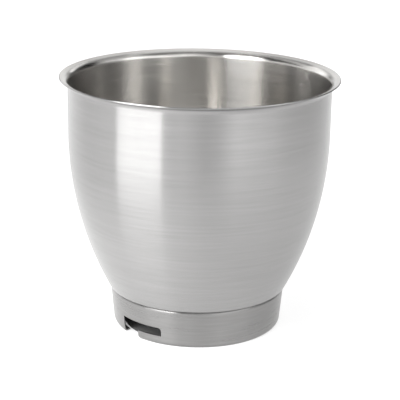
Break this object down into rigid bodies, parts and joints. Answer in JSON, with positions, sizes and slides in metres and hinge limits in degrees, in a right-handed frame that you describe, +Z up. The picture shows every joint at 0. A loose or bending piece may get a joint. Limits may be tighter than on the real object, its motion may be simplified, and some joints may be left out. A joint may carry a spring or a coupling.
{
  "type": "stand mixer bowl",
  "caption": "Deep brushed steel bowl for a stand mixer, with an out-turned lip, on a foot ring with L-shaped bayonet slots.",
  "frame": {"origin": "on the bowl's axis, in the plane that the foot ring rests on", "axes": "+Z up along the bowl's axis; the two bayonet slots are centred on -Y and +Y"},
  "size_m": [0.22, 0.22, 0.202],
  "materials": {
    "bowl_steel": "satin, brushed round the bowl",
    "foot_steel": "satin, brushed round the ring"
  },
  "bodies": {
    "root": {"bowl": "bowl_steel", "foot_ring": "foot_steel"}
  },
  "joints": []
}
